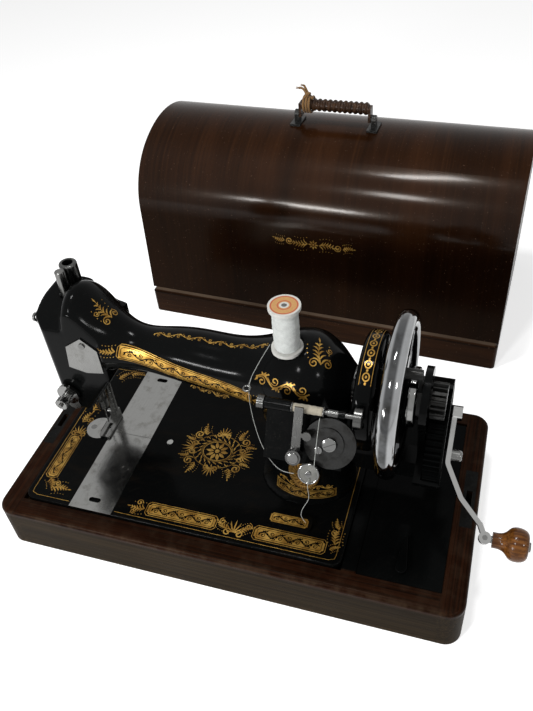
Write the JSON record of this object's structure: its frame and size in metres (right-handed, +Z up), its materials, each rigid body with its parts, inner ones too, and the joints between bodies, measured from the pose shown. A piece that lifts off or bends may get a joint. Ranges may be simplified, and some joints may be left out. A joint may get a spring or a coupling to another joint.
{
  "type": "hand-crank sewing machine with case",
  "caption": "Antique hand-crank sewing machine with black gilt-decorated head, bobbin winder and wooden base, its bentwood lift-off cover with a carrying handle standing behind it.",
  "frame": {"origin": "middle of the wooden base's underside", "axes": "+X along the base towards the handwheel, +Y towards the back, +Z up"},
  "size_m": [0.482, 0.5933, 0.2632],
  "materials": {
    "base_wood": "worn varnish",
    "lid_wood": "gloss varnish",
    "handle_wood": "varnished",
    "grip_wood": "varnished",
    "spool_wood": "matt",
    "black_japan": "gloss black enamel",
    "bright_steel": "polished, lightly scratched",
    "chrome": "bright",
    "cast_gear": "oiled",
    "brass": "aged",
    "white_thread": "matt",
    "tan_lace": "matt"
  },
  "bodies": {
    "case_base": {"base_frame": "base_wood", "base_bottom_board": "base_wood", "compartment_divider": "base_wood", "catch_plates": "bright_steel", "catch_plate_screws": "bright_steel", "bed_hinge_brackets": "black_japan"},
    "accessory_panel": {"accessory_lid": "black_japan"},
    "machine_head": {"bed_casting": "black_japan", "arm_casting": "black_japan", "face_plate": "bright_steel", "inspection_plate": "bright_steel", "cover_screws": "bright_steel", "needle_plate": "bright_steel", "pillar_badge": "brass", "spool_pin": "bright_steel", "arm_thread_guide": "bright_steel", "shaft_bushes": "brass", "tension_post": "bright_steel", "tension_discs": "bright_steel", "tension_spring": "bright_steel", "crank_bracket": "black_japan", "thread_feed": "white_thread"},
    "wheel_shaft": {"main_shaft": "bright_steel", "handwheel": "black_japan", "drive_pinion": "bright_steel", "needle_bar_cam": "bright_steel"},
    "stop_knob": {"stop_motion_knob": "chrome"},
    "crank": {"crank_gear": "cast_gear", "crank_arm": "chrome", "crank_latch": "chrome"},
    "crank_knuckle": {"handle_spindle": "bright_steel"},
    "crank_grip": {"crank_handle": "handle_wood"},
    "needle_unit": {"needle_bar": "bright_steel", "needle_clamp": "bright_steel", "needle": "bright_steel"},
    "take_up": {"take_up_lever": "bright_steel"},
    "presser": {"presser_bar": "bright_steel", "presser_foot": "bright_steel"},
    "lifter": {"presser_lifter": "bright_steel"},
    "pressure_knob": {"pressure_screw": "chrome"},
    "tension_knob": {"tension_nut": "bright_steel"},
    "spool": {"thread_spool": "spool_wood", "spool_winding": "white_thread"},
    "winder": {"winder_frame": "black_japan", "thread_tail": "white_thread"},
    "winder_shaft": {"winder_spindle": "bright_steel", "wound_bobbin": "white_thread"},
    "winder_cam": {"winder_cam_gear": "cast_gear"},
    "winder_lever": {"winder_guide_lever": "bright_steel"},
    "front_plate": {"front_slide_plate": "bright_steel"},
    "rear_plate": {"rear_slide_plate": "bright_steel"},
    "shuttle_drive": {"shuttle_lever": "cast_gear", "shuttle": "bright_steel"},
    "feed": {"feed_bar": "bright_steel"},
    "cover": {"lid_shell": "lid_wood", "lid_ends": "lid_wood", "lid_skirt": "lid_wood", "lid_handle_brackets": "bright_steel"},
    "cover_handle": {"lid_handle": "grip_wood", "handle_tie": "tan_lace"}
  },
  "joints": [
    {"name": "accessory_lid_hinge", "type": "hinge", "parent": "case_base", "child": "accessory_panel", "pos_m": [0.16325, 0.0895, 0.0441], "axis": [-1, 0, 0], "range_deg": [0, 14]},
    {"name": "head_tilt", "type": "hinge", "parent": "case_base", "child": "machine_head", "pos_m": [0, 0.1005, 0.049], "axis": [-1, 0, 0], "range_deg": [0, 55]},
    {"name": "handwheel_spin", "type": "hinge", "parent": "machine_head", "child": "wheel_shaft", "pos_m": [0.142, 0, 0.178], "axis": [1, 0, 0], "continuous": true},
    {"name": "stop_motion_turn", "type": "hinge", "parent": "wheel_shaft", "child": "stop_knob", "pos_m": [0.1505, 0, 0.178], "axis": [1, 0, 0], "range_deg": [-90, 0]},
    {"name": "crank_turn", "type": "hinge", "parent": "machine_head", "child": "crank", "pos_m": [0.169, 0.014, 0.12378], "axis": [1, 0, 0], "continuous": true},
    {"name": "handle_fold", "type": "hinge", "parent": "crank", "child": "crank_knuckle", "pos_m": [0.226, -0.05528, 0.08378], "axis": [0, 0.5, -0.866], "range_deg": [0, 80]},
    {"name": "handle_spin", "type": "hinge", "parent": "crank_knuckle", "child": "crank_grip", "pos_m": [0.226, -0.05528, 0.08378], "axis": [1, 0, 0], "continuous": true},
    {"name": "needle_bar_travel", "type": "slide", "parent": "machine_head", "child": "needle_unit", "axis": [0, 0, 1], "range_m": [-0.028, 0]},
    {"name": "take_up_swing", "type": "hinge", "parent": "machine_head", "child": "take_up", "pos_m": [-0.177, 0.01, 0.17], "axis": [1, 0, 0], "range_deg": [0, 35]},
    {"name": "presser_lifter_swing", "type": "hinge", "parent": "machine_head", "child": "lifter", "pos_m": [-0.145, 0.034, 0.134], "axis": [0, -1, 0], "range_deg": [0, 70]},
    {"name": "presser_bar_lift", "type": "slide", "parent": "machine_head", "child": "presser", "axis": [0, 0, 1], "range_m": [0, 0.0065]},
    {"name": "pressure_screw_turn", "type": "hinge", "parent": "machine_head", "child": "pressure_knob", "pos_m": [-0.153, 0.021, 0.235], "axis": [0, 0, 1], "range_deg": [-180, 180]},
    {"name": "tension_nut_turn", "type": "hinge", "parent": "machine_head", "child": "tension_knob", "pos_m": [-0.159, -0.025, 0.138], "axis": [0, 1, 0], "range_deg": [-180, 180]},
    {"name": "spool_spin", "type": "hinge", "parent": "machine_head", "child": "spool", "pos_m": [0.053, -0.008, 0.218], "axis": [0, 0, 1], "continuous": true},
    {"name": "winder_swing", "type": "hinge", "parent": "machine_head", "child": "winder", "pos_m": [0.101, -0.05378, 0.15314], "axis": [1, 0, 0], "range_deg": [0, 8]},
    {"name": "winder_spindle_spin", "type": "hinge", "parent": "winder", "child": "winder_shaft", "pos_m": [0.101, -0.05357, 0.20151], "axis": [1, 0, 0], "continuous": true},
    {"name": "winder_cam_turn", "type": "hinge", "parent": "winder", "child": "winder_cam", "pos_m": [0.101, -0.06557, 0.18073], "axis": [0, -0.866, 0.5], "continuous": true},
    {"name": "winder_guide_swing", "type": "hinge", "parent": "winder", "child": "winder_lever", "pos_m": [0.076, -0.07157, 0.17034], "axis": [0, -0.866, 0.5], "range_deg": [-8, 8]},
    {"name": "front_plate_slide", "type": "slide", "parent": "machine_head", "child": "front_plate", "axis": [0, -1, 0], "range_m": [0, 0.07]},
    {"name": "rear_plate_slide", "type": "slide", "parent": "machine_head", "child": "rear_plate", "axis": [0, -1, 0], "range_m": [-0.07, 0]},
    {"name": "shuttle_swing", "type": "hinge", "parent": "machine_head", "child": "shuttle_drive", "pos_m": [0.067, 0, 0.044], "axis": [0, 0, 1], "range_deg": [-9, 9]},
    {"name": "feed_travel", "type": "slide", "parent": "machine_head", "child": "feed", "axis": [0, 1, 0], "range_m": [-0.002, 0.002]},
    {"name": "cover_lift", "type": "slide", "parent": "case_base", "child": "cover", "axis": [0, 0, 1], "range_m": [0, 0.25]},
    {"name": "cover_handle_swing", "type": "hinge", "parent": "cover", "child": "cover_handle", "pos_m": [0.00583, 0.35792, 0.23943], "axis": [0.9988, -0.0489, 0], "range_deg": [-75, 75]}
  ],
  "couplings": [
    {"joint": "crank_turn", "follows": "handwheel_spin", "ratio": -0.33333},
    {"joint": "take_up_swing", "follows": "needle_bar_travel", "rad_per_m": -21.8},
    {"joint": "presser_lifter_swing", "follows": "presser_bar_lift", "rad_per_m": 187.9},
    {"joint": "winder_cam_turn", "follows": "winder_spindle_spin", "ratio": 0.025}
  ]
}
